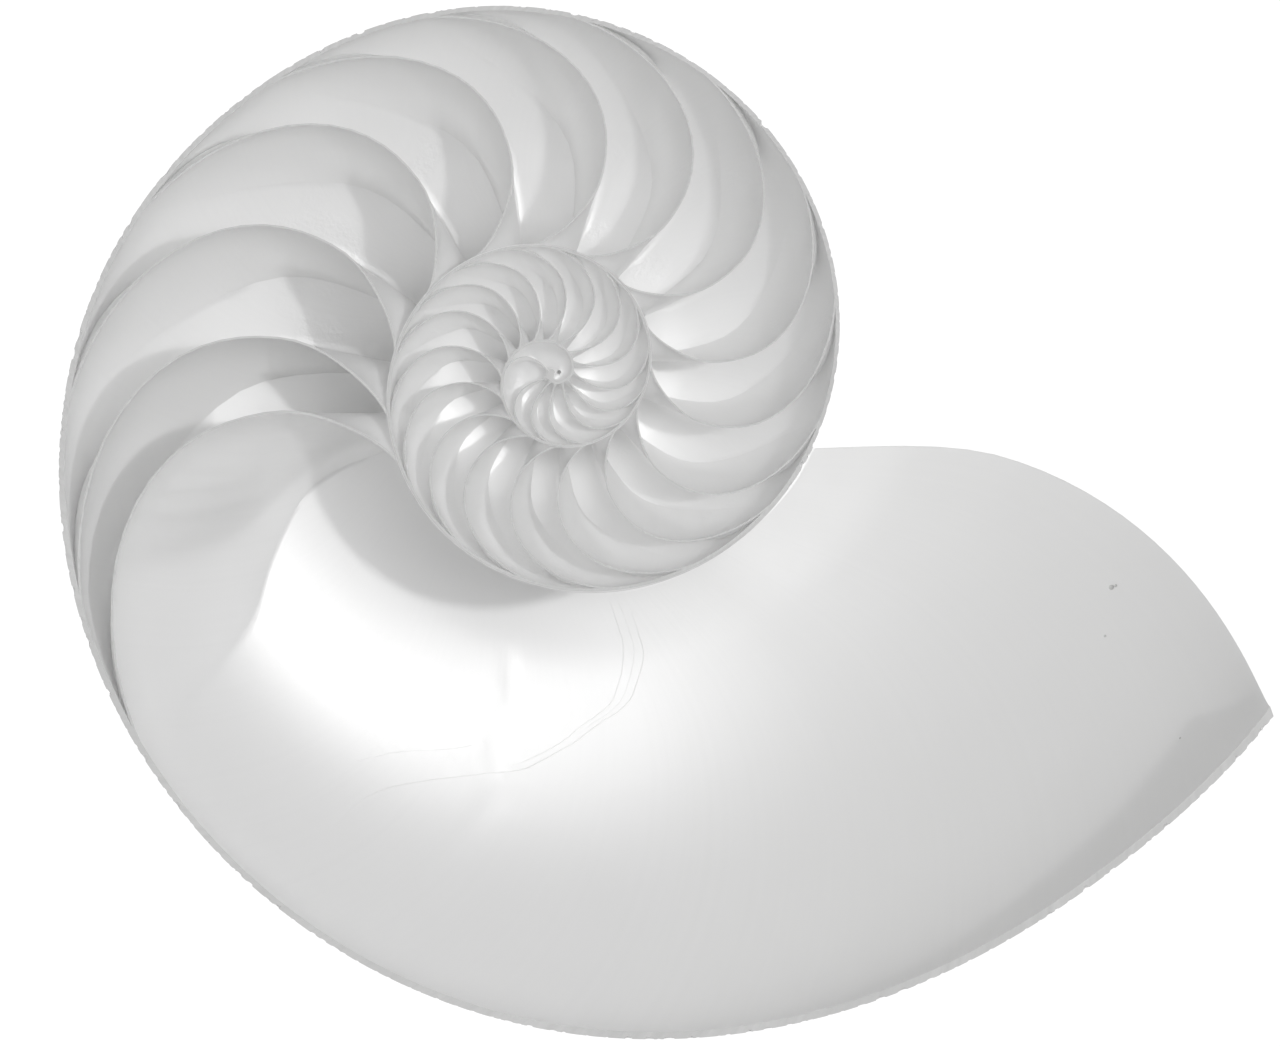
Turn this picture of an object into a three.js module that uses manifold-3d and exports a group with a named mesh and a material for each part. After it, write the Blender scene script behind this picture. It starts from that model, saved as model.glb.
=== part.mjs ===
// Half of a chambered nautilus shell, sawn along its plane of symmetry. Millimetres, +Z up.
// The shell is described in its own frame: the axis of the coil is the Z axis, the saw cut lies in
// Z = 0 and the rounded flank hangs below it. Growth runs anticlockwise, in degrees, and passes
// 360 once a turn. The finished half is then laid on its flank, where it rests with the cut up.

import * as THREE from 'three';
import { mergeVertices } from 'three/addons/utils/BufferGeometryUtils.js';
import Module from 'manifold-3d';

// Outer wall of the coil: its radius in the saw cut, at growth angles from the first coil to the lip
const wallTurns = [
  -360, -270, -180, -90, 0, 90, 180, 270, 315, 360, 405, 450, 495, 540, 585, 630, 675, 694.5,
];
const wallRadii = [
  2.7, 4.2, 6.8, 9.9, 13.1, 17.1, 22.1, 29.2, 33.4, 38.2, 43.5, 49, 55.3, 65.4, 76.4, 88.9, 100, 107.8,
];
const growthPerDegree = 0.003;
const lipTurn = 694.5;

// Septa: the growth angle where each one reaches furthest back, in the saw cut
const septumTurns = [
  -153, -123, -97, -66, -42, -18, 8, 32, 56, 79, 101.4, 122.6, 142.2, 164, 186.2, 208, 228.6, 251, 272,
  295, 317, 341.4, 363.6, 388.8, 412.6, 436, 461, 485, 510, 532.8, 548,
];
const firstChamberTurn = -330;

// Cross-section of a whorl, as shares of the outer wall's radius
const flankDepth = 0.36;
const flankRadius = 0.45;
const flankFullness = 0.9;
const navelDip = 0.13;

// Callus that fills the navel of the coil
const callusDepth = 25.5;
const callusRadius = 14;

// Lip: how far, in degrees, its side runs ahead of its middle
const lipLead = 15.4;
const lipLeadRadius = 0.53;
const lipLeadPower = 1.55;
const lipNavelFall = 145;
const lipLeadLeast = -6;

// Septum: a dish whose hollow lies at this share of the way from the inner to the outer wall.
// Its rim runs ahead of the hollow by these degrees, along the outer wall from the keel over the
// flank to the navel, and along the inner whorl.
const hollowShare = 0.36;
const outerRimPlaces = [0, 0.35, 0.75, 1];
const outerRimLeads = [33, 35, 17, 18];
const innerRimLead = 21;
const dishRoundness = 0.97;

// Thicknesses: a fixed part, and a part that grows with the whorl's radius
const wallBase = 0.35;
const wallGrowth = 0.0085;
const septumBase = 0.3;
const septumGrowth = 0.006;
const innerLayerShare = 1;
const navelWallShare = 1.3;

// How far the hollows run over the saw cut and past the lip, so that they open there
const overCut = 0.03;
const pastLip = 26;

// Growth between one row of corners and the next, in degrees
const flankStep = 8;
const chamberStep = 18;
const bodyChamberStep = 8.5;
const slopeStep = 0.03;

// The solid turn under the flank is laid down in two stretches, which meet here
const stretchStart = 300;
const stretchJoin = 510;

// Rest on the flank: the cut leans this far, with its low side at this heading about the coil's axis
const restTilt = 11.04;
const lowSideHeading = 167.6;

const radians = THREE.MathUtils.degToRad;
const degrees = THREE.MathUtils.radToDeg;

// Smooth curve through a few known points
function smoothThrough(places, values, at) {
  const last = places.length - 1;
  const slope = (i) => {
    const before = Math.max(i - 1, 0);
    const after = Math.min(i + 1, last);
    return (values[after] - values[before]) / (places[after] - places[before]);
  };
  let i = 0;
  while (i < last - 1 && at > places[i + 1]) i += 1;
  const span = places[i + 1] - places[i];
  const t = (at - places[i]) / span;
  const rise = values[i + 1] - values[i];
  const bend = span * slope(i) * (1 - t) - span * slope(i + 1) * t;
  const lean = rise * (1 - 2 * t);
  return values[i] + rise * t + t * (1 - t) * (bend - lean);
}

// Radius of the outer wall in the saw cut
const wallLogs = wallRadii.map(Math.log);

function wallRadius(turn) {
  const known = THREE.MathUtils.clamp(turn, wallTurns[0], lipTurn);
  return Math.exp(smoothThrough(wallTurns, wallLogs, known) + growthPerDegree * (turn - known));
}

const wallThickness = (turn) => wallBase + wallGrowth * wallRadius(turn);

// Outside of the flank: the point of a whorl's cross-section at an angle around it, from the keel
// in the saw cut (0) to the deepest line of the flank (90), drawn in by the wall where it is given
function flankPoint(turn, angle, inward) {
  const radius = wallRadius(turn);
  const across = radius * (1 - flankRadius) - inward;
  const down = radius * flankDepth - inward;
  const c = Math.cos(radians(angle)) ** flankFullness;
  const s = Math.sin(radians(angle)) ** flankFullness;
  return new THREE.Vector2(radius * flankRadius + across * c, -down * s);
}

// Flank between its deepest line and the navel, where callus levels the turns
function navelPoint(turn, share) {
  const radius = wallRadius(turn);
  const reach = radius * flankRadius * share;
  const whorlDepth = radius * (flankDepth - navelDip * (1 - share) ** 2);
  const callus = Math.exp(-((reach / callusRadius) ** 2));
  return { reach, whorlDepth, depth: whorlDepth + (callusDepth - whorlDepth) * callus };
}

// Lead of the lip over the keel, by the share of the wall's radius
function lipLeadAt(share) {
  if (share >= lipLeadRadius) {
    const outward = (share - lipLeadRadius) / (1 - lipLeadRadius);
    return lipLead * (1 - outward ** lipLeadPower);
  }
  return Math.max(lipLead - lipNavelFall * (lipLeadRadius - share) ** 2, lipLeadLeast);
}

function place(turn, point) {
  const angle = radians(turn);
  return new THREE.Vector3(point.x * Math.cos(angle), point.x * Math.sin(angle), point.y);
}

// Closed body from corner points and triangles, as a solid
const wasm = await Module();
wasm.setup();

function solidOf(points, triangles) {
  const geometry = new THREE.BufferGeometry().setFromPoints(points);
  geometry.setIndex(triangles);
  const merged = mergeVertices(geometry, 1e-5);
  const corners = merged.index.array;
  const kept = [];
  for (let i = 0; i < corners.length; i += 3) {
    const [a, b, c] = [corners[i], corners[i + 1], corners[i + 2]];
    if (a !== b && b !== c && c !== a) kept.push(a, b, c);
  }
  const mesh = new wasm.Mesh({
    numProp: 3,
    vertProperties: new Float32Array(merged.attributes.position.array),
    triVerts: new Uint32Array(kept),
  });
  return new wasm.Manifold(mesh);
}

// Two triangles for each four-sided patch of a grid
function pushPatch(triangles, a, b, c, d) {
  triangles.push(a, b, c, a, c, d);
}

// Block with a grid of points on its six sides, each placed by a function of its cell
function warpedBlock(counts, pointAt) {
  const points = [];
  const known = new Map();
  const corner = (cell) => {
    const key = cell.join(' ');
    if (!known.has(key)) {
      known.set(key, points.length);
      points.push(pointAt(...cell));
    }
    return known.get(key);
  };
  const triangles = [];
  for (let axis = 0; axis < 3; axis += 1) {
    const [u, v] = [(axis + 1) % 3, (axis + 2) % 3];
    const cornerOn = (side, i, j) => {
      const cell = [0, 0, 0];
      cell[axis] = side;
      cell[u] = i;
      cell[v] = j;
      return corner(cell);
    };
    for (let i = 0; i < counts[u]; i += 1) {
      for (let j = 0; j < counts[v]; j += 1) {
        const patch = (side) =>
          [[i, j], [i + 1, j], [i + 1, j + 1], [i, j + 1]].map(([a, b]) => cornerOn(side, a, b));
        const [a, b, c, d] = patch(0);
        pushPatch(triangles, a, d, c, b);
        pushPatch(triangles, ...patch(counts[axis]));
      }
    }
  }
  return solidOf(points, triangles);
}

// Stretch of the coil, filled from its axis out to the flank
const flankAngles = [0, 8, 17, 27, 37, 47, 58, 68, 78, 90];
const navelShares = [0.8, 0.58, 0.36, 0.18, 0];

function filledStretch(startTurn, endTurnAt) {
  const steps = Math.round((endTurnAt(1) - startTurn) / flankStep);
  const rows = flankAngles.length + navelShares.length;
  const profile = (turn, row) => {
    if (row < flankAngles.length) return flankPoint(turn, flankAngles[row], 0);
    const navel = navelPoint(turn, navelShares[row - flankAngles.length]);
    return new THREE.Vector2(navel.reach, -navel.depth);
  };
  const points = [new THREE.Vector3()];
  for (let column = 0; column <= steps; column += 1) {
    for (let row = 0; row < rows; row += 1) {
      const share = profile(startTurn, row).x / wallRadius(startTurn);
      const turn = startTurn + ((endTurnAt(share) - startTurn) * column) / steps;
      points.push(place(turn, profile(turn, row)));
    }
  }
  const at = (column, row) => 1 + column * rows + row;
  const triangles = [];
  for (let column = 0; column < steps; column += 1) {
    triangles.push(0, at(column, 0), at(column + 1, 0));
    for (let row = 0; row < rows - 1; row += 1) {
      const [here, next] = [at(column, row), at(column + 1, row)];
      pushPatch(triangles, here, here + 1, next + 1, next);
    }
  }
  for (let row = 0; row < rows - 1; row += 1) {
    triangles.push(0, at(0, row + 1), at(0, row));
    triangles.push(0, at(steps, row), at(steps, row + 1));
  }
  return solidOf(points, triangles);
}

// Rows of a chamber's cross-section, from the saw cut down to the navel: each joins a point of the
// inner whorl to a point of the outer wall, given by its angle on the flank or its navel share
const chamberRows = [
  { inner: 0, outer: 0 },
  { inner: 12, outer: 17 },
  { inner: 25, outer: 37 },
  { inner: 40, outer: 58 },
  { inner: 56, outer: 78 },
  { inner: 72, navel: 0.85 },
  { inner: 90, navel: 0.4 },
];
const acrossShares = [0, 0.13, 0.37, 0.66, 0.88, 1];

// Point of a whorl's hollow, across from the inner whorl (0) to the outer wall (1)
function hollowPoint(turn, row, across) {
  const { inner, outer, navel } = chamberRows[Math.max(row, 0)];
  const wall = wallThickness(turn);
  const innerTurn = turn - 360;
  const from = flankPoint(innerTurn, inner, -innerLayerShare * wallThickness(innerTurn));
  let to;
  if (navel === undefined) {
    to = flankPoint(turn, outer, wall);
  } else {
    const { reach, whorlDepth, depth } = navelPoint(turn, navel);
    to = new THREE.Vector2(reach, navelWallShare * wall - Math.min(whorlDepth, depth));
  }
  const point = from.lerp(to, across);
  if (row < 0) point.y = overCut * wallRadius(turn);
  return point;
}

// Lead of a septum over its hollow
function septumLead(row, across) {
  const down = Math.max(row, 0) / (chamberRows.length - 1);
  const outward = across > hollowShare;
  const side = outward ? (across - hollowShare) / (1 - hollowShare) : 1 - across / hollowShare;
  const ring = dishRoundness * Math.sqrt(side ** 2 + down ** 2 * (1 - side ** 2));
  const rise = (1 - Math.sqrt(1 - ring ** 2)) / (1 - Math.sqrt(1 - dishRoundness ** 2));
  const outerLead = smoothThrough(outerRimPlaces, outerRimLeads, down);
  return rise * THREE.MathUtils.lerp(innerRimLead, outerLead, across);
}

// Growth angle of one face of a septum, half its thickness before or after its middle
function septumFaceTurn(hollowTurn, side, row, across) {
  const lead = septumLead(row, across);
  const here = hollowPoint(hollowTurn, row, across);
  const nearby = across > hollowShare ? across - slopeStep : across + slopeStep;
  const run = here.distanceTo(hollowPoint(hollowTurn, row, nearby));
  const slope = (radians(lead - septumLead(row, nearby)) * here.x) / run;
  const half = (septumBase + septumGrowth * wallRadius(hollowTurn)) / 2;
  return hollowTurn + lead + side * degrees((half * Math.hypot(1, slope)) / here.x);
}

// Hollow between two septa, or between the last septum and past the lip
function chamber(fromTurn, toTurn, stepTurn) {
  const steps = Math.ceil((toTurn - fromTurn) / stepTurn);
  const counts = [steps, acrossShares.length - 1, chamberRows.length];
  return warpedBlock(counts, (step, column, level) => {
    const row = level - 1;
    const across = acrossShares[column];
    const start = septumFaceTurn(fromTurn, 1, row, across);
    const end = septumFaceTurn(toTurn, -1, row, across);
    const turn = start + ((end - start) * step) / steps;
    return place(turn, hollowPoint(turn, row, across));
  });
}

// The whole half: two stretches of the last turn, hollowed by every chamber and by the body chamber
function shellHalf() {
  const back = filledStretch(stretchStart, () => stretchJoin);
  const front = filledStretch(stretchJoin, (share) => lipTurn + lipLeadAt(share));
  const walls = [firstChamberTurn, ...septumTurns];
  let half = back.add(front);
  walls.slice(0, -1).forEach((turn, i) => {
    half = half.subtract(chamber(turn, walls[i + 1], chamberStep));
  });
  return half.subtract(chamber(walls[walls.length - 1], lipTurn + pastLip, bodyChamberStep));
}

const cut = shellHalf().getMesh();
const geometry = new THREE.BufferGeometry();
geometry.setAttribute('position', new THREE.BufferAttribute(new Float32Array(cut.vertProperties), 3));
geometry.setIndex(new THREE.BufferAttribute(new Uint32Array(cut.triVerts), 1));
geometry.computeVertexNormals();

const nacre = new THREE.MeshStandardMaterial({ color: 0xe9e7e3, roughness: 0.35, metalness: 0 });
const shell = new THREE.Mesh(geometry, nacre);
shell.name = 'nautilus_shell_half';

// Lay the half on its flank, with its origin under the middle of its box
const lean = radians(lowSideHeading);
const levelLine = new THREE.Vector3(-Math.sin(lean), Math.cos(lean), 0);
const rested = new THREE.Group();
rested.add(shell);
rested.quaternion.setFromAxisAngle(levelLine, radians(restTilt));
const box = new THREE.Box3().setFromObject(rested, true);
rested.position.set(-(box.min.x + box.max.x) / 2, -(box.min.y + box.max.y) / 2, -box.min.z);

export default rested;
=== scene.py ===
"""Half of a chambered nautilus shell, sawn along its plane of symmetry and laid on its flank."""

import math
import random

import bmesh
import bpy
from mathutils import Matrix, Quaternion, Vector, noise


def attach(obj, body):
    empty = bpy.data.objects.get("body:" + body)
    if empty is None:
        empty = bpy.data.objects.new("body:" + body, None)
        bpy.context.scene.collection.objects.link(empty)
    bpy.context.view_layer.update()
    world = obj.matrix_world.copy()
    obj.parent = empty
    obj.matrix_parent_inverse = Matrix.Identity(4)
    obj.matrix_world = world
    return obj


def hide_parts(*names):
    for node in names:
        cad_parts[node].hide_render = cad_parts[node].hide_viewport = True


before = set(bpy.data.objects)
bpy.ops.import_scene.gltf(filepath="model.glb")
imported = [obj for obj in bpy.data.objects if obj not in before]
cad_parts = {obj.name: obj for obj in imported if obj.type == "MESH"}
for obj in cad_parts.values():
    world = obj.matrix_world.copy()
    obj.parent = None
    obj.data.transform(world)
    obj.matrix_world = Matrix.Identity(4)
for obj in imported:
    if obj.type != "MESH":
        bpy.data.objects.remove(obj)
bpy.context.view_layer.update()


# Outer wall: a tube of aragonite that the animal laid down, about three times wider each turn, with
# callus in the navel, sawn in half along its keel. It is made solid here, from the coil's axis out
# to the flank and round to the lip, whose sides run ahead of its middle.

# Lengths are in millimetres, in the shell's own frame: the coil's axis is Z, the saw cut is Z = 0,
# and growth angles pass 360 once a turn.
WALL_TURNS = [
    -360, -270, -180, -90, 0, 90, 180, 270, 315, 360, 405, 450, 495, 540, 585, 630, 675, 694.5,
]
WALL_RADII = [
    2.7, 4.2, 6.8, 9.9, 13.1, 17.1, 22.1, 29.2, 33.4, 38.2, 43.5, 49, 55.3, 65.4, 76.4, 88.9, 100,
    107.8,
]
WALL_LOGS = [math.log(radius) for radius in WALL_RADII]
EARLY_GROWTH = 0.0075
LATE_GROWTH = 0.003
LIP_TURN = 694.5
FLANK_DEPTH = 0.36
FLANK_RADIUS = 0.45
FLANK_FULLNESS = 0.9
NAVEL_DIP = 0.13
CALLUS_DEPTH = 25.5
CALLUS_RADIUS = 14
NAVEL_WALL = 1.3
NAVEL_WALL_REACH = 0.15
LIP_LEAD = 15.4
LIP_LEAD_RADIUS = 0.53
LIP_LEAD_POWER = 1.55
LIP_NAVEL_FALL = 145
LIP_LEAD_LEAST = -6
STRETCH_START = 300
STRETCH_JOIN = 510
STRETCH_LAP = 2
STRETCH_SHRINK = 0.9998
FLANK_STEP = 1.6
FLANK_COLUMNS = 44
NAVEL_SHARE = 0.35
SAME_PLACE = 1e-5
NO_LENGTH = 1e-6


def smooth_through(places, values, at):
    """Smooth curve through a few known points."""
    last = len(places) - 1

    def slope(i):
        before, after = max(i - 1, 0), min(i + 1, last)
        return (values[after] - values[before]) / (places[after] - places[before])

    i = 0
    while i < last - 1 and at > places[i + 1]:
        i += 1
    span = places[i + 1] - places[i]
    t = (at - places[i]) / span
    rise = values[i + 1] - values[i]
    bend = span * slope(i) * (1 - t) - span * slope(i + 1) * t
    return values[i] + rise * t + t * (1 - t) * (bend - rise * (1 - 2 * t))


def wall_radius(turn):
    """Radius of the keel at a growth angle."""
    known = min(max(turn, WALL_TURNS[0]), LIP_TURN)
    growth = EARLY_GROWTH if turn < known else LATE_GROWTH
    return math.exp(smooth_through(WALL_TURNS, WALL_LOGS, known) + growth * (turn - known))


def whorl_point(turn, around, inward):
    """Point of a whorl's outside, from the keel in the saw cut (0) over the deepest line of the
    flank (1) to the navel (2), drawn in by a thickness."""
    radius = wall_radius(turn)
    if around <= 1:
        angle = math.radians(90 * around)
        across = radius * (1 - FLANK_RADIUS) - inward
        down = radius * FLANK_DEPTH - inward
        c = max(math.cos(angle), 0) ** FLANK_FULLNESS
        s = max(math.sin(angle), 0) ** FLANK_FULLNESS
        return radius * FLANK_RADIUS + across * c, -down * s
    reach = radius * FLANK_RADIUS * (2 - around)
    whorl_depth = radius * (FLANK_DEPTH - NAVEL_DIP * (around - 1) ** 2)
    callus = math.exp(-((reach / CALLUS_RADIUS) ** 2))
    depth = whorl_depth + (CALLUS_DEPTH - whorl_depth) * callus
    if inward == 0:
        return reach, -depth
    thicker = 1 + (NAVEL_WALL - 1) * min((around - 1) / NAVEL_WALL_REACH, 1)
    return reach, thicker * inward - min(whorl_depth, depth)


def around_coil(turn, reach, height):
    angle = math.radians(turn)
    return Vector((reach * math.cos(angle), reach * math.sin(angle), height))


def grown_block(steps, columns, rows, point_at):
    """Closed block with a grid on its six sides, each point moved to where the shell grew it."""
    solid = bmesh.new()
    bmesh.ops.create_cube(solid, size=1, matrix=Matrix.Translation((0.5, 0.5, 0.5)))
    for axis, count in enumerate((steps, columns, rows)):
        if count == 1:
            continue
        along = [e for e in solid.edges if abs(e.verts[0].co[axis] - e.verts[1].co[axis]) > 0.5]
        bmesh.ops.subdivide_edges(solid, edges=along, cuts=count - 1, use_grid_fill=True)
    for vert in solid.verts:
        vert.co = point_at(*vert.co)
    bmesh.ops.remove_doubles(solid, verts=solid.verts, dist=SAME_PLACE)
    bmesh.ops.dissolve_degenerate(solid, dist=NO_LENGTH, edges=solid.edges)
    bmesh.ops.recalc_face_normals(solid, faces=solid.faces)
    return solid


def as_object(solid, name):
    mesh = bpy.data.meshes.new(name)
    solid.to_mesh(mesh)
    solid.free()
    body = bpy.data.objects.new(name, mesh)
    bpy.context.scene.collection.objects.link(body)
    return body


def combined(body, other, operation):
    """Body joined with, or cut by, the other one, which is used up."""
    step = body.modifiers.new(operation.lower(), "BOOLEAN")
    step.operation = operation
    step.solver = "MANIFOLD"
    step.object = other
    bpy.context.view_layer.update()
    finished = body.evaluated_get(bpy.context.evaluated_depsgraph_get())
    joined = bpy.data.meshes.new_from_object(finished)
    body.modifiers.clear()
    body.data = joined
    bpy.data.objects.remove(other)
    return body


def lip_lead(share):
    """How far the lip runs ahead of the tube's end, at a share of the keel's radius."""
    if share >= LIP_LEAD_RADIUS:
        outward = (share - LIP_LEAD_RADIUS) / (1 - LIP_LEAD_RADIUS)
        return LIP_LEAD * (1 - outward**LIP_LEAD_POWER)
    return max(LIP_LEAD - LIP_NAVEL_FALL * (LIP_LEAD_RADIUS - share) ** 2, LIP_LEAD_LEAST)


def filled_stretch(start_turn, end_turn_at, size):
    """Solid stretch of the last turn, from the coil's axis to the keel."""

    def point_at(along, outward, down):
        if outward < NAVEL_SHARE:
            around = 2 - outward / NAVEL_SHARE
        else:
            around = (1 - outward) / (1 - NAVEL_SHARE)
        share = whorl_point(start_turn, around, 0)[0] / wall_radius(start_turn)
        turn = start_turn + (end_turn_at(share) - start_turn) * along
        reach, height = whorl_point(turn, around, 0)
        return around_coil(turn, reach, height * down) * size

    steps = round((end_turn_at(1) - start_turn) / FLANK_STEP)
    return grown_block(steps, FLANK_COLUMNS, 1, point_at)


back = filled_stretch(STRETCH_START, lambda share: STRETCH_JOIN + STRETCH_LAP, STRETCH_SHRINK)
shell = as_object(back, "shell_half")
front = filled_stretch(STRETCH_JOIN, lambda share: LIP_TURN + lip_lead(share), 1)
shell = combined(shell, as_object(front, "front"), "UNION")


# Chambers and septa: as the animal grew it sealed off the tube behind it with thin walls of nacre,
# whose hollow side faces the aperture. Each chamber is cut out of the solid turn, and what stays
# between two of them is a septum. The animal lived in the open chamber in front of the last one.
WALL_BASE = 0.22
WALL_GROWTH = 0.0085
INNER_LAYER = 0.25
SEPTUM_TURNS = [
    -217, -153, -123, -97, -66, -42, -18, 8, 32, 56, 79, 101.4, 122.6, 142.2, 164, 186.2, 208,
    228.6, 251, 272, 295, 317, 341.4, 363.6, 388.8, 412.6, 436, 461, 485, 510, 532.8, 548,
]
FIRST_CHAMBER_TURN = -450
PAST_LIP = 26
HOLLOW_SHARE = 0.36
RIM_PLACES = [0, 0.32, 0.66, 1]
INNER_RIM_LEADS = [21, 8, 10, 14]
OUTER_RIM_LEADS = [33, 28, 8, 8]
LAST_RIM_PLACES = [0, 0.2, 0.4, 0.55, 0.63, 0.73, 0.85, 1]
LAST_RIM_LEADS = [33, 33, 33, 30.5, 24.5, 16, 16, 18]
WEDGE_PLACES = [0, 0.05, 0.2, 0.6, 1]
WEDGE_FILLS = [0, 2.5, 9, 8, 0]
WEDGE_START = 0.86
WEDGE_POWER = 1.5
DISH_ROUNDNESS = 0.97
DEEP_ROUNDNESS = 0.93
LAST_DEEP_ROUNDNESS = 0.87
DEEP_FROM = 0.3
SEPTUM_BASE = 0.12
SEPTUM_GROWTH = 0.0028
RIPPLE_MIDDLE = 672
RIPPLE_REACH = 16
RIPPLE_INNER_SHARE = 0.42
RIPPLE_RISE_SHARE = 0.15
RIPPLE_RATE = 60
RIPPLE_SWAY_RATE = 0.13
RIPPLE_HEIGHT = 0.07
FLOOR_RIDGES = [
    [(-6.2, -39.1), (-5.5, -44.2), (-7.2, -48.9), (-8, -51.6), (-8.1, -54.2)],
    [(-6.5, -57.3), (-8.5, -58.4), (-10.1, -60.1), (-11.9, -63.1), (-12.8, -64.9)],
]
RIDGE_WIDTH = 0.95
RIDGE_REACH = 5
RIDGE_HEIGHT = 0.12
OVER_CUT = 0.03
SLOPE_STEP = 0.02
ROW_PLACES = [0, 1 / 6, 2 / 6, 3 / 6, 4 / 6, 5 / 6, 1]
ROW_INNER = [0, 0.133, 0.278, 0.444, 0.622, 0.8, 1]
ROW_OUTER = [0, 0.189, 0.411, 0.644, 0.867, 1.15, 1.6]
FIRST_GRID = (36, 14, 10)
SMALL_GRID = (8, 16, 14)
LARGE_GRID = (8, 26, 23)
LARGE_FROM = 90
OPEN_GRID = (150, 24, 56)


def wall_thickness(turn):
    return WALL_BASE + WALL_GROWTH * wall_radius(turn)


def hollow_point(turn, down, across):
    """Point of a whorl's hollow, from the inner whorl (0) to the outer wall (1)."""
    inner_turn = turn - 360
    layer = INNER_LAYER * wall_thickness(inner_turn)
    inner = whorl_point(inner_turn, smooth_through(ROW_PLACES, ROW_INNER, down), -layer)
    outer = whorl_point(turn, smooth_through(ROW_PLACES, ROW_OUTER, down), wall_thickness(turn))
    return inner[0] + (outer[0] - inner[0]) * across, inner[1] + (outer[1] - inner[1]) * across


def septum_lead(hollow_turn, down, across):
    """How far a septum runs ahead of the bottom of its dish, in degrees of growth."""
    if across > HOLLOW_SHARE:
        side = (across - HOLLOW_SHARE) / (1 - HOLLOW_SHARE)
    else:
        side = 1 - across / HOLLOW_SHARE
    last = hollow_turn == SEPTUM_TURNS[-1]
    deep_roundness = LAST_DEEP_ROUNDNESS if last else DEEP_ROUNDNESS
    roundness = DISH_ROUNDNESS + (deep_roundness - DISH_ROUNDNESS) * min(down / DEEP_FROM, 1)
    ring = roundness * math.sqrt(side**2 + down**2 * (1 - side**2))
    rise = (1 - math.sqrt(1 - ring**2)) / (1 - math.sqrt(1 - roundness**2))
    inner_lead = smooth_through(RIM_PLACES, INNER_RIM_LEADS, down)
    if last:
        outer_lead = smooth_through(LAST_RIM_PLACES, LAST_RIM_LEADS, down)
    else:
        outer_lead = smooth_through(RIM_PLACES, OUTER_RIM_LEADS, down)
    return rise * (inner_lead + (outer_lead - inner_lead) * across)


def septum_face_turn(hollow_turn, side, down, across):
    """Growth angle of one face of a septum, half its thickness before or after its middle."""
    lead = septum_lead(hollow_turn, down, across)
    here = hollow_point(hollow_turn, down, across)
    nearby = across - SLOPE_STEP if across > HOLLOW_SHARE else across + SLOPE_STEP
    there = hollow_point(hollow_turn, down, nearby)
    run = math.hypot(here[0] - there[0], here[1] - there[1])
    slope = math.radians(lead - septum_lead(hollow_turn, down, nearby)) * here[0] / run
    half = (SEPTUM_BASE + SEPTUM_GROWTH * wall_radius(hollow_turn)) / 2
    return hollow_turn + lead + side * math.degrees(half * math.hypot(1, slope) / here[0])


def soft_ridge(x, y):
    """Height of the low rounded ridges that the muscles left on the open chamber's floor."""
    here, height = Vector((x, y)), 0
    for line in FLOOR_RIDGES:
        nearest = RIDGE_REACH
        for start, end in zip(line, line[1:]):
            start, end = Vector(start), Vector(end)
            along = (here - start).dot(end - start) / (end - start).length_squared
            foot = start.lerp(end, min(max(along, 0), 1))
            nearest = min(nearest, (here - foot).length)
        height = max(height, math.exp(-((nearest / RIDGE_WIDTH) ** 2)))
    return RIDGE_HEIGHT * height


def ripple(turn, share, down):
    """Soft swell of the open chamber's wall, along the lines of growth."""
    grown = turn - lip_lead(share)
    near = math.exp(-(((grown - RIPPLE_MIDDLE) / RIPPLE_REACH) ** 2))
    outer = min(max((share - RIPPLE_INNER_SHARE) / RIPPLE_RISE_SHARE, 0), 1)
    wave = math.sin(math.radians(grown * RIPPLE_RATE) + math.sin(grown * RIPPLE_SWAY_RATE))
    return RIPPLE_HEIGHT * near * outer * down * wave


def chamber(from_turn, to_turn, steps, columns, rows):
    """Hollow between two septa, from above the saw cut down to the navel."""

    def point_at(along, column, down):
        across = (1 - math.cos(math.pi * column)) / 2
        level = down * (rows + 1)
        depth = max(level - 1, 0) / rows
        start = septum_face_turn(from_turn, 1, depth, across)
        end = septum_face_turn(to_turn, -1, depth, across)
        if to_turn < LIP_TURN:
            wedge = max((across - WEDGE_START) / (1 - WEDGE_START), 0)
            end -= wedge**WEDGE_POWER * smooth_through(WEDGE_PLACES, WEDGE_FILLS, depth)
        turn = start + (end - start) * along
        reach, height = hollow_point(turn, depth, across)
        if to_turn > LIP_TURN:
            height += ripple(turn, reach / wall_radius(turn), depth)
            if 0 < depth < 1 and across == 1:
                height += soft_ridge(*around_coil(turn, reach, 0).xy)
        if level < 0.5:
            height = OVER_CUT * wall_radius(turn)
        return around_coil(turn, reach, height)

    return grown_block(steps, columns, rows + 1, point_at)


def hollows():
    """Every closed chamber and the open one, as one set of solids."""
    bodies = [chamber(FIRST_CHAMBER_TURN, SEPTUM_TURNS[0], *FIRST_GRID)]
    for from_turn, to_turn in zip(SEPTUM_TURNS, SEPTUM_TURNS[1:]):
        grid = LARGE_GRID if from_turn > LARGE_FROM else SMALL_GRID
        bodies.append(chamber(from_turn, to_turn, *grid))
    bodies.append(chamber(SEPTUM_TURNS[-1], LIP_TURN + PAST_LIP, *OPEN_GRID))
    joined = bmesh.new()
    for body in bodies:
        mesh = bpy.data.meshes.new("hollow")
        body.to_mesh(mesh)
        body.free()
        joined.from_mesh(mesh)
        bpy.data.meshes.remove(mesh)
    return joined


shell = combined(shell, as_object(hollows(), "hollows"), "DIFFERENCE")


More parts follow.
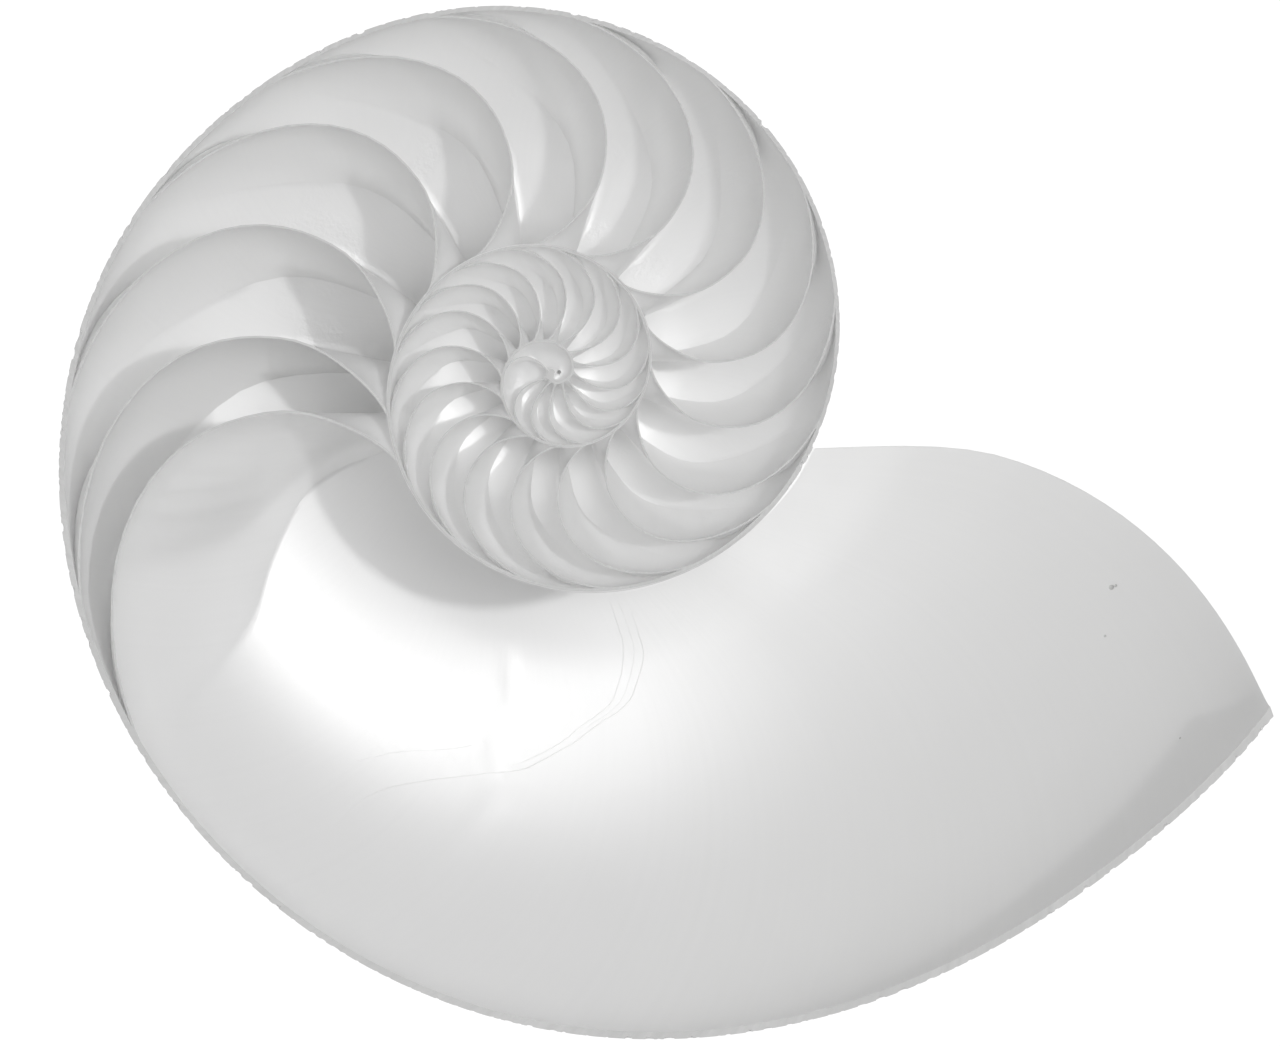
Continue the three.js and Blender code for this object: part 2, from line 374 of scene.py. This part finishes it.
# Muscle scars: fine grooves in the nacre of the open chamber's floor, round the place where the
# animal's muscles held on. Each is cut here by a narrow bar that follows the wall.
SCAR_LINES = [
    [(9.2, -29.6), (10.7, -33), (11.7, -36.1), (12.2, -38.1), (12, -39.9), (11.3, -42.2),
     (10.4, -44.5), (8.4, -46.4), (6.3, -47.7), (3, -50.2), (0.9, -51.4), (-1.8, -52.9),
     (-4.5, -54.1), (-9.9, -54.7), (-15.3, -55.3), (-20.7, -56.1), (-24, -57), (-26.7, -58.4),
     (-28.8, -60.4), (-31.5, -63.1)],
    [(6.9, -29.6), (8, -32.3), (8.9, -35), (9.4, -36.9), (9.3, -40.2), (8.6, -42.9), (7.8, -44.9),
     (5.9, -46.6), (3.5, -48.3), (0.9, -50.4), (-1.8, -51.9), (-4.5, -53.1), (-7.2, -53.8)],
    [(-9.2, -50.3), (-13.9, -51.2), (-20.7, -51.6), (-24.7, -52.3), (-28.1, -53)],
    [(8.1, -29.8), (9.4, -32.7), (10.4, -35.6), (10.9, -37.6), (10.7, -40), (10, -42.6),
     (9.1, -44.7), (7.2, -46.5), (4.9, -48), (2, -50.3)],
]
SCAR_WIDTH = 0.3
SCAR_NARROWING = 0.8
SCAR_END_WIDTH = 0.3
SCAR_TAPER = 8
SCAR_LOOK = 0.1
SCAR_DEPTHS = [0.13, 0.09, 0.06, 0.06]
SCAR_ABOVE = 0.3
SCAR_STEPS = 60
WALL_HALVINGS = 30


def on_flank(x, y):
    """Height of the open chamber's wall under a place in the saw cut."""
    turn = math.degrees(math.atan2(y, x)) % 360 + 360
    reach = math.hypot(x, y)
    high, low = 0, 1
    for _ in range(WALL_HALVINGS):
        middle = (high + low) / 2
        if hollow_point(turn, middle, 1)[0] > reach:
            high = middle
        else:
            low = middle
    return hollow_point(turn, high, 1)[1]


def scar_bar(line, depth):
    """Bar along a line over the open chamber's floor, which reaches a depth into the nacre."""
    places = list(range(len(line)))

    def on_line(at):
        x = smooth_through(places, [point[0] for point in line], at)
        y = smooth_through(places, [point[1] for point in line], at)
        return Vector((x, y, 0))

    def point_at(along, side, down):
        at = along * places[-1]
        here = on_line(at)
        ahead, behind = min(at + SCAR_LOOK, places[-1]), max(at - SCAR_LOOK, 0)
        way = (on_line(ahead) - on_line(behind)).normalized()
        taper = min(along * SCAR_TAPER, (1 - along) * SCAR_TAPER, 1)
        end_width = SCAR_END_WIDTH + (1 - SCAR_END_WIDTH) * taper
        half = SCAR_WIDTH * (1 - SCAR_NARROWING * down) * end_width / 2
        here += Vector((way.y, -way.x, 0)) * half * (2 * side - 1)
        floor = on_flank(here.x, here.y) + soft_ridge(here.x, here.y)
        return Vector((here.x, here.y, floor + SCAR_ABOVE * (1 - down) - depth * taper * down))

    return grown_block(SCAR_STEPS, 1, 1, point_at)


for line, depth in zip(SCAR_LINES, SCAR_DEPTHS):
    shell = combined(shell, as_object(scar_bar(line, depth), "scar"), "DIFFERENCE")


# Wear: the saw knocked chips out of the brittle outer edge, a dark hairline parts the inner
# whorl's wall from the nacre laid on it, the coil's middle has a small hole, and a few pits,
# coloured dark grey, mark the nacre near the lip. All of it is cut out of the shell.
CHIP_SPACING = 1.1
CHIP_GAPS = (0.6, 3)
CHIP_SIZES = (0.25, 0.7)
CHIP_STRETCHES = ((0.5, 0.9), (0.8, 1.7), (3, 6))
CHIP_TURNS = (-25, 25)
CHIP_REACHES = (-0.05, 0.4)
CHIP_HEIGHTS = (-0.1, 0.2)
HAIRLINE_TURNS = (-150, 334)
HAIRLINE_WIDTH = 0.11
HAIRLINE_END_WIDTH = 0.2
HAIRLINE_TAPER = 8
HAIRLINE_ABOVE = 0.1
HAIRLINE_DEPTH = 0.5
HAIRLINE_SWAY = 0.06
HAIRLINE_SWAY_RATE = 0.09
HAIRLINE_STEPS = 260
MIDDLE_HOLE = Vector((0.8, 0.05, 0))
MIDDLE_HOLE_RADII = (0.32, 0.2)
MIDDLE_HOLE_DEPTH = 3
MIDDLE_HOLE_ABOVE = 0.2
PIT_RAISED = 0.45
PITS = [((76.4, -29.1), 0.42), ((77, -28.9), 0.25), ((75.5, -35.8), 0.22), ((85.3, -49.6), 0.18)]

chance = random.Random(7)


def add_chip(wear, turn):
    """Upright splinter across the outer wall's edge, as one more solid of the wear."""
    size = chance.uniform(*CHIP_SIZES)
    chip = bmesh.ops.create_icosphere(wear, subdivisions=1, radius=size)["verts"]
    stretch = Vector([chance.uniform(*span) for span in CHIP_STRETCHES])
    bmesh.ops.scale(wear, vec=stretch, verts=chip)
    turned = Matrix.Rotation(math.radians(turn + chance.uniform(*CHIP_TURNS)), 3, "Z")
    bmesh.ops.rotate(wear, cent=(0, 0, 0), matrix=turned, verts=chip)
    reach = wall_radius(turn) + size * chance.uniform(*CHIP_REACHES)
    middle = around_coil(turn, reach, chance.uniform(*CHIP_HEIGHTS) * size)
    bmesh.ops.translate(wear, vec=middle, verts=chip)


def hairline(along, side, down):
    """Point of the thin slit that parts the inner whorl's wall from the nacre on it."""
    turn = HAIRLINE_TURNS[0] + (HAIRLINE_TURNS[1] - HAIRLINE_TURNS[0]) * along
    sway = HAIRLINE_SWAY * noise.noise(Vector((turn * HAIRLINE_SWAY_RATE, 0, 0)))
    taper = min(1, HAIRLINE_TAPER * (1 - along) + HAIRLINE_END_WIDTH)
    reach = wall_radius(turn) + sway + HAIRLINE_WIDTH * (side - 0.5) * taper
    return around_coil(turn, reach, HAIRLINE_ABOVE - (HAIRLINE_DEPTH + HAIRLINE_ABOVE) * down)


wear = bmesh.new()
turn = LIP_TURN - 360
while turn < LIP_TURN:
    add_chip(wear, turn)
    turn += math.degrees(CHIP_SPACING * chance.uniform(*CHIP_GAPS) / wall_radius(turn))
hole_drop = Vector((0, 0, MIDDLE_HOLE_DEPTH / 2 - MIDDLE_HOLE_ABOVE))
bmesh.ops.create_cone(
    wear, cap_ends=True, segments=20, depth=MIDDLE_HOLE_DEPTH, radius1=MIDDLE_HOLE_RADII[1],
    radius2=MIDDLE_HOLE_RADII[0], matrix=Matrix.Translation(MIDDLE_HOLE - hole_drop),
)
pits = [(Vector((*place, on_flank(*place) + PIT_RAISED * size)), size) for place, size in PITS]
for place, size in pits:
    bmesh.ops.create_icosphere(wear, subdivisions=2, radius=size, matrix=Matrix.Translation(place))
shell = combined(shell, as_object(wear, "wear"), "DIFFERENCE")
slit = as_object(grown_block(HAIRLINE_STEPS, 1, 1, hairline), "hairline")
shell = combined(shell, slit, "DIFFERENCE")


# Rest: the half lies loose on its rounded flank, so the saw cut leans, low at one side. The shell
# is turned and set down there, in metres, and only its sawn and broken edges stay sharp.
REST_TILT = math.radians(11.04)
LOW_SIDE = math.radians(167.6)
COIL_CENTRE = Vector((-0.015641, 0.020269, 0.031176))
MILLIMETRE = 0.001
SHARP_ANGLE = math.radians(38)

rest_turn = Quaternion((-math.sin(LOW_SIDE), math.cos(LOW_SIDE), 0), REST_TILT)
rest_place = Matrix.Translation(COIL_CENTRE) @ rest_turn.to_matrix().to_4x4()
shell_to_rest = rest_place @ Matrix.Scale(MILLIMETRE, 4)
shell.data.transform(shell_to_rest)
shell.data.shade_smooth()
shell.data.set_sharp_from_angle(angle=SHARP_ANGLE)


# Finish: nacre inside and porcelain outside, both with the fine lines that the shell grew by, sawn
# edges ground dull, dark grey in the pits, and painted shade on the nacre towards the lip. The
# growth angle of each point is kept as an attribute, which the lines follow.
SKIN_SHARE = 0.3
ROUGHNESS_SPREAD = 0.06
CLOUD_SCALE = 70
GROWTH_LINE_RATE = 1.1
TONE_SPAN = (0.12, 0.38)
PATCH_SCALE = 95
PATCH_SPAN = (0.56, 0.66)
CRYSTAL_SCALE = 1700
CRYSTAL_HEIGHT = 0.00008
SEPTA_SPAN = (545, 535)
SHEEN = (0.22, 0.05)
# Painted shade: the nacre's base tone falls to this share towards the lip.
LIP_PAINTED_SHADE = (1, 0.89)
LIP_SPAN = (628, 656)
CUT_LEVEL = 1e-5
CUT_FACING = 0.9999
OUTSIDE_FACING = 0.3
PIT_MARGIN = 0.02
EDGE_MARGIN = 0.05
INNERMOST_TURN = -300
INNER_WHORL_END = LIP_TURN - 300


def growth_of(spot):
    """Growth angle of a point of the shell, and its distance from the coil's axis."""
    reach = math.hypot(spot.x, spot.y)
    turn = math.degrees(math.atan2(spot.y, spot.x)) % 360 + 360
    while turn > INNERMOST_TURN and wall_radius(turn - 360) > reach + EDGE_MARGIN:
        turn -= 360
    if turn < INNER_WHORL_END and reach > wall_radius(turn) + EDGE_MARGIN:
        turn += 360
    return turn, reach


def depth_in_wall(spot):
    """How far a point lies above the outside of the last turn, and how thick the wall is there."""
    reach = math.hypot(spot.x, spot.y)
    turn = math.degrees(math.atan2(spot.y, spot.x)) % 360 + 360
    if turn > LIP_TURN + LIP_LEAD:
        turn -= 360
    radius = wall_radius(turn)
    if reach > radius * FLANK_RADIUS:
        c = min((reach / radius - FLANK_RADIUS) / (1 - FLANK_RADIUS), 1) ** (1 / FLANK_FULLNESS)
        outside = -radius * FLANK_DEPTH * math.sqrt(1 - c * c) ** FLANK_FULLNESS
    else:
        outside = whorl_point(turn, 2 - reach / (radius * FLANK_RADIUS), 0)[1]
    return spot.z - outside, wall_thickness(turn)


in_shell = shell_to_rest.inverted()
growth = shell.data.attributes.new("growth", "FLOAT", "POINT")
for vert in shell.data.vertices:
    turn, reach = growth_of(in_shell @ vert.co)
    growth.data[vert.index].value = turn - lip_lead(min(reach / wall_radius(turn), 1))


def growth_angle(nodes):
    grown = nodes.new("ShaderNodeAttribute")
    grown.attribute_name = "growth"
    return grown.outputs["Fac"]


def ranged(nodes, links, value, span, low=0, high=1):
    """Value that goes from low to high as another one goes over a span."""
    step = nodes.new("ShaderNodeMapRange")
    step.inputs["From Min"].default_value, step.inputs["From Max"].default_value = span
    step.inputs["To Min"].default_value, step.inputs["To Max"].default_value = low, high
    links.new(value, step.inputs["Value"])
    return step.outputs["Result"]


def product(nodes, links, first, second):
    step = nodes.new("ShaderNodeMath")
    step.operation = "MULTIPLY"
    links.new(first, step.inputs[0])
    links.new(second, step.inputs[1])
    return step.outputs["Value"]


def shell_material(name, colour, tint, roughness, line_height, grain_size, grain_height):
    """Shell with faint clouds of a second tint, growth lines and grain, and its bump in metres."""
    material = bpy.data.materials.new(name)
    material.use_nodes = True
    nodes, links = material.node_tree.nodes, material.node_tree.links
    shader = nodes["Principled BSDF"]
    place = nodes.new("ShaderNodeTexCoord").outputs["Object"]

    def pattern(scale, detail, at=None):
        noise_node = nodes.new("ShaderNodeTexNoise")
        noise_node.inputs["Scale"].default_value = scale
        noise_node.inputs["Detail"].default_value = detail
        if at is None:
            links.new(place, noise_node.inputs["Vector"])
        else:
            noise_node.noise_dimensions = "1D"
            links.new(at, noise_node.inputs["W"])
        return noise_node.outputs["Fac"]

    clouds = pattern(CLOUD_SCALE, 3)
    lines = pattern(GROWTH_LINE_RATE, 3, growth_angle(nodes))
    grain = pattern(1 / grain_size, 2)
    tones = nodes.new("ShaderNodeValToRGB")
    for stop, at, tone in zip(tones.color_ramp.elements, TONE_SPAN, (tint, colour)):
        stop.position, stop.color = at, tone
    links.new(product(nodes, links, clouds, lines), tones.inputs["Fac"])
    links.new(tones.outputs["Color"], shader.inputs["Base Color"])
    least, most = roughness - ROUGHNESS_SPREAD, roughness + ROUGHNESS_SPREAD
    links.new(ranged(nodes, links, grain, (0, 1), least, most), shader.inputs["Roughness"])
    normal = None
    for height, way in ((line_height, lines), (grain_height, grain)):
        bump = nodes.new("ShaderNodeBump")
        bump.inputs["Strength"].default_value = 1
        bump.inputs["Distance"].default_value = height
        links.new(way, bump.inputs["Height"])
        if normal:
            links.new(normal, bump.inputs["Normal"])
        normal = bump.outputs["Normal"]
    links.new(normal, shader.inputs["Normal"])
    return material, shader


def add_grainy_patches(material):
    """Dusty patches on the septa, where the nacre's crystals stand out."""
    nodes, links = material.node_tree.nodes, material.node_tree.links
    shader = nodes["Principled BSDF"]
    place = nodes.new("ShaderNodeTexCoord").outputs["Object"]
    patches = nodes.new("ShaderNodeTexNoise")
    patches.inputs["Scale"].default_value = PATCH_SCALE
    crystals = nodes.new("ShaderNodeTexNoise")
    crystals.inputs["Scale"].default_value = CRYSTAL_SCALE
    links.new(place, patches.inputs["Vector"])
    links.new(place, crystals.inputs["Vector"])
    bare = ranged(nodes, links, patches.outputs["Fac"], PATCH_SPAN)
    on_septa = ranged(nodes, links, growth_angle(nodes), SEPTA_SPAN)
    bare_septa = product(nodes, links, bare, on_septa)
    bump = nodes.new("ShaderNodeBump")
    bump.inputs["Distance"].default_value = CRYSTAL_HEIGHT
    links.new(product(nodes, links, bare_septa, crystals.outputs["Fac"]), bump.inputs["Height"])
    links.new(shader.inputs["Normal"].links[0].from_socket, bump.inputs["Normal"])
    links.new(bump.outputs["Normal"], shader.inputs["Normal"])


def fade_sheen_and_paint_lip_shade(material):
    """The nacre's metal sheen fades, and its tone falls a little, towards the lip. The falling tone
    is painted shade, for the grey that the light leaves there; how much is a guess."""
    nodes, links = material.node_tree.nodes, material.node_tree.links
    shader = nodes["Principled BSDF"]
    grown = growth_angle(nodes)
    links.new(ranged(nodes, links, grown, LIP_SPAN, *SHEEN), shader.inputs["Metallic"])
    # Painted shade: the base tone is scaled down towards the lip.
    tone = nodes.new("ShaderNodeVectorMath")
    tone.operation = "SCALE"
    links.new(shader.inputs["Base Color"].links[0].from_socket, tone.inputs[0])
    links.new(ranged(nodes, links, grown, LIP_SPAN, *LIP_PAINTED_SHADE), tone.inputs["Scale"])
    links.new(tone.outputs["Vector"], shader.inputs["Base Color"])


def lit_through(shader, depth):
    """Lets light into a finish, to a depth in metres."""
    shader.inputs["Subsurface Weight"].default_value = 1
    shader.inputs["Subsurface Radius"].default_value = (1, 1, 1)
    shader.inputs["Subsurface Scale"].default_value = depth


nacre, nacre_shader = shell_material(
    "nacre", colour=(0.945, 0.945, 0.94, 1), tint=(0.93, 0.93, 0.925, 1), roughness=0.42,
    line_height=0.000006, grain_size=0.0004, grain_height=0.000005,
)
fade_sheen_and_paint_lip_shade(nacre)
lit_through(nacre_shader, depth=0.0013)
add_grainy_patches(nacre)
porcelain, porcelain_shader = shell_material(
    "porcelain", colour=(0.88, 0.875, 0.86, 1), tint=(0.8, 0.79, 0.77, 1), roughness=0.38,
    line_height=0.00012, grain_size=0.0005, grain_height=0.00001,
)
lit_through(porcelain_shader, depth=0.0006)
# The pits are coloured dark grey.
dark_pit_finish, _ = shell_material(
    "dark_pit", colour=(0.6, 0.6, 0.59, 1), tint=(0.4, 0.4, 0.39, 1), roughness=0.7,
    line_height=0.00001, grain_size=0.0002, grain_height=0.00003,
)
sawn, _ = shell_material(
    "sawn_edge", colour=(0.66, 0.66, 0.655, 1), tint=(0.56, 0.56, 0.555, 1), roughness=0.6,
    line_height=0.00001, grain_size=0.0002, grain_height=0.00003,
)
shell.data.materials.clear()
for finish in (nacre, sawn, porcelain, dark_pit_finish):
    shell.data.materials.append(finish)
NACRE, SAWN, PORCELAIN, DARK_PIT = range(4)
cut_way = rest_turn @ Vector((0, 0, 1))


def finish_of(face):
    """Index of the finish that a face of the shell has."""
    centre = in_shell @ face.center
    for place, size in pits:
        if (centre - place).length < size + PIT_MARGIN:
            corners = [in_shell @ shell.data.vertices[i].co for i in face.vertices]
            if all((corner - place).length < size + PIT_MARGIN for corner in corners):
                return DARK_PIT
    facing = face.normal.dot(cut_way)
    if facing > CUT_FACING and abs((face.center - COIL_CENTRE).dot(cut_way)) < CUT_LEVEL:
        return SAWN
    if facing < OUTSIDE_FACING:
        above, wall = depth_in_wall(centre)
        if above < SKIN_SHARE * wall:
            return PORCELAIN
    return NACRE


for face in shell.data.polygons:
    face.material_index = finish_of(face)
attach(shell, "root")
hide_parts("nautilus_shell_half")


# Table: a plain sheet of white paper under the shell, which just lies on it. The sheet glows for
# the camera alone, so it shows no tone, while the shell gets only what plain paper reflects.
FLOOR_SIZE = 3
PAPER_TONE = 0.8
PAPER_GLARE = 1.1
floor_form = bmesh.new()
bmesh.ops.create_grid(floor_form, x_segments=1, y_segments=1, size=FLOOR_SIZE)
floor = as_object(floor_form, "table_top")
white = bpy.data.materials.new("white_sheet")
white.use_nodes = True
white_nodes, white_links = white.node_tree.nodes, white.node_tree.links
white_nodes.remove(white_nodes["Principled BSDF"])
paper = white_nodes.new("ShaderNodeBsdfDiffuse")
paper.inputs["Color"].default_value = (PAPER_TONE, PAPER_TONE, PAPER_TONE, 1)
glare = white_nodes.new("ShaderNodeEmission")
glare.inputs["Strength"].default_value = PAPER_GLARE
seen = white_nodes.new("ShaderNodeLightPath")
either = white_nodes.new("ShaderNodeMixShader")
white_links.new(seen.outputs["Is Camera Ray"], either.inputs["Fac"])
white_links.new(paper.outputs["BSDF"], either.inputs[1])
white_links.new(glare.outputs["Emission"], either.inputs[2])
white_links.new(either.outputs["Shader"], white_nodes["Material Output"].inputs["Surface"])
floor.data.materials.append(white)


# Camera: straight over the saw cut, far off with a long lens, so there is hardly any perspective.
PHOTO_MIDDLE = Vector((11.745, -20.318, 0))
PHOTO_WIDTH = 172.8 * MILLIMETRE
CAMERA_DISTANCE = 2
SENSOR = 36

camera_data = bpy.data.cameras.new("camera")
camera_data.sensor_fit = "HORIZONTAL"
camera_data.sensor_width = SENSOR
camera_data.lens = SENSOR * CAMERA_DISTANCE / PHOTO_WIDTH
camera = bpy.data.objects.new("camera", camera_data)
look_at = rest_place @ (PHOTO_MIDDLE * MILLIMETRE)
stand = look_at + rest_turn @ Vector((0, 0, CAMERA_DISTANCE))
camera.matrix_world = Matrix.Translation(stand) @ rest_turn.to_matrix().to_4x4()
bpy.context.scene.collection.objects.link(camera)
bpy.context.scene.camera = camera


# Light: a dim pale room, a key lamp with sharp shadows from the right of the picture, a softer
# lamp beside it, and a broad lamp from the left, almost overhead. All three stand high.
ROOM_BRIGHTNESS = 0.115
KEY_HEADING = 9
KEY_HEIGHT = 63
KEY_STRENGTH = 0.8
KEY_SOFTNESS = 3
SIDE_HEADING = 30
SIDE_HEIGHT = 70
SIDE_STRENGTH = 0.57
SIDE_SOFTNESS = 30
FRONT_HEADING = 190
FRONT_HEIGHT = 80
FRONT_STRENGTH = 0.33
FRONT_SOFTNESS = 45
VIEW_GAMMA = 1.6

world = bpy.data.worlds.new("room")
world.use_nodes = True
world.node_tree.nodes["Background"].inputs["Color"].default_value = (1, 1, 1, 1)
world.node_tree.nodes["Background"].inputs["Strength"].default_value = ROOM_BRIGHTNESS
bpy.context.scene.world = world


def add_lamp(name, heading, height, strength, softness):
    """Far lamp, at a heading round the picture and a height over the cut, in degrees."""
    data = bpy.data.lights.new(name, "SUN")
    data.energy = strength
    data.angle = math.radians(softness)
    height = math.radians(height)
    way = rest_turn @ around_coil(heading, math.cos(height), math.sin(height))
    lamp = bpy.data.objects.new(name, data)
    turned = way.to_track_quat("Z", "Y").to_matrix().to_4x4()
    lamp.matrix_world = Matrix.Translation(look_at + way) @ turned
    bpy.context.scene.collection.objects.link(lamp)


add_lamp("key_lamp", KEY_HEADING, KEY_HEIGHT, KEY_STRENGTH, KEY_SOFTNESS)
add_lamp("side_lamp", SIDE_HEADING, SIDE_HEIGHT, SIDE_STRENGTH, SIDE_SOFTNESS)
add_lamp("front_lamp", FRONT_HEADING, FRONT_HEIGHT, FRONT_STRENGTH, FRONT_SOFTNESS)

bpy.context.scene.view_settings.view_transform = "Standard"
bpy.context.scene.view_settings.gamma = VIEW_GAMMA
